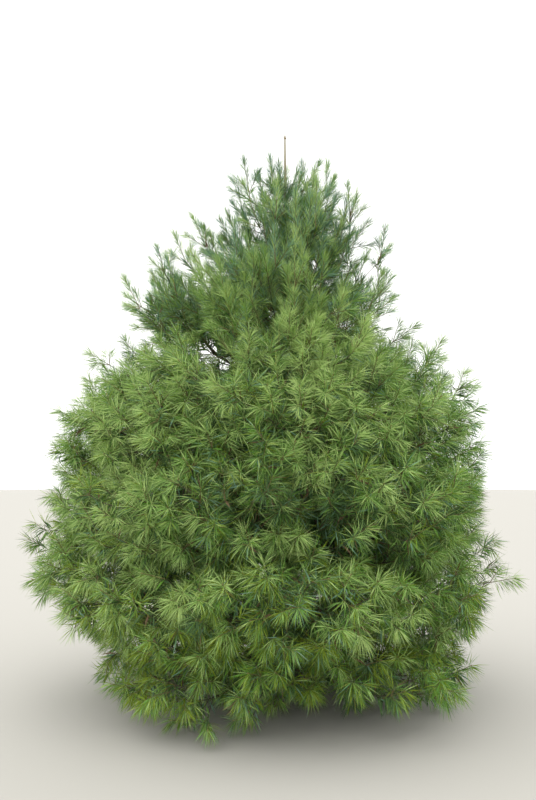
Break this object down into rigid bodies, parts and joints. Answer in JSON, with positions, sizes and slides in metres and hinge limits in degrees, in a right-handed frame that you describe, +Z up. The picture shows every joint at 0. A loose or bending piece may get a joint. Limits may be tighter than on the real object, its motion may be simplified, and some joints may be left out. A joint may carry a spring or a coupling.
{
  "type": "pine tree",
  "caption": "Young rooted pine tree with a straight tapering trunk, whorled upswept boughs and a full, broadly conical crown of long soft needles.",
  "frame": {"origin": "middle of the flat cut under the trunk, at ground level", "axes": "+Z up along the trunk, +X to the right and -Y to the front as in the picture"},
  "size_m": [3.4955, 3.1942, 4.16],
  "materials": {
    "bark": "rough grey-brown bark",
    "young_bark": "smoother young bark",
    "needles": "soft satin needles, yellow-green at the tips and deeper green inside"
  },
  "bodies": {
    "root": {"bough_high_back": "young_bark", "bough_high_front": "young_bark", "bough_high_left": "young_bark", "bough_high_right": "young_bark", "bough_lower_back_left": "young_bark", "bough_lower_back_right": "young_bark", "bough_lower_front": "young_bark", "bough_lower_left": "young_bark", "bough_lower_right": "young_bark", "bough_middle_back": "young_bark", "bough_middle_front_left": "young_bark", "bough_middle_front_right": "young_bark", "bough_middle_left": "young_bark", "bough_middle_right": "young_bark", "bough_shoulder_back_left": "young_bark", "bough_shoulder_back_right": "young_bark", "bough_shoulder_front": "young_bark", "bough_shoulder_front_right": "young_bark", "bough_shoulder_left": "young_bark", "bough_skirt_back": "young_bark", "bough_skirt_front_left": "young_bark", "bough_skirt_front_right": "young_bark", "bough_skirt_left": "young_bark", "bough_skirt_right": "young_bark", "bough_upper_back": "young_bark", "bough_upper_front": "young_bark", "bough_upper_left": "young_bark", "bough_upper_right": "young_bark", "foliage_high_back": "needles", "foliage_high_front": "needles", "foliage_high_left": "needles", "foliage_high_right": "needles", "foliage_lower_back_left": "needles", "foliage_lower_back_right": "needles", "foliage_lower_front": "needles", "foliage_lower_left": "needles", "foliage_lower_right": "needles", "foliage_middle_back": "needles", "foliage_middle_front_left": "needles", "foliage_middle_front_right": "needles", "foliage_middle_left": "needles", "foliage_middle_right": "needles", "foliage_shoulder_back_left": "needles", "foliage_shoulder_back_right": "needles", "foliage_shoulder_front": "needles", "foliage_shoulder_front_right": "needles", "foliage_shoulder_left": "needles", "foliage_skirt_back": "needles", "foliage_skirt_front_left": "needles", "foliage_skirt_front_right": "needles", "foliage_skirt_left": "needles", "foliage_skirt_right": "needles", "foliage_top_back_right": "needles", "foliage_top_front_right": "needles", "foliage_top_left": "needles", "foliage_upper_back": "needles", "foliage_upper_front": "needles", "foliage_upper_left": "needles", "foliage_upper_right": "needles", "trunk": "bark"}
  },
  "joints": []
}
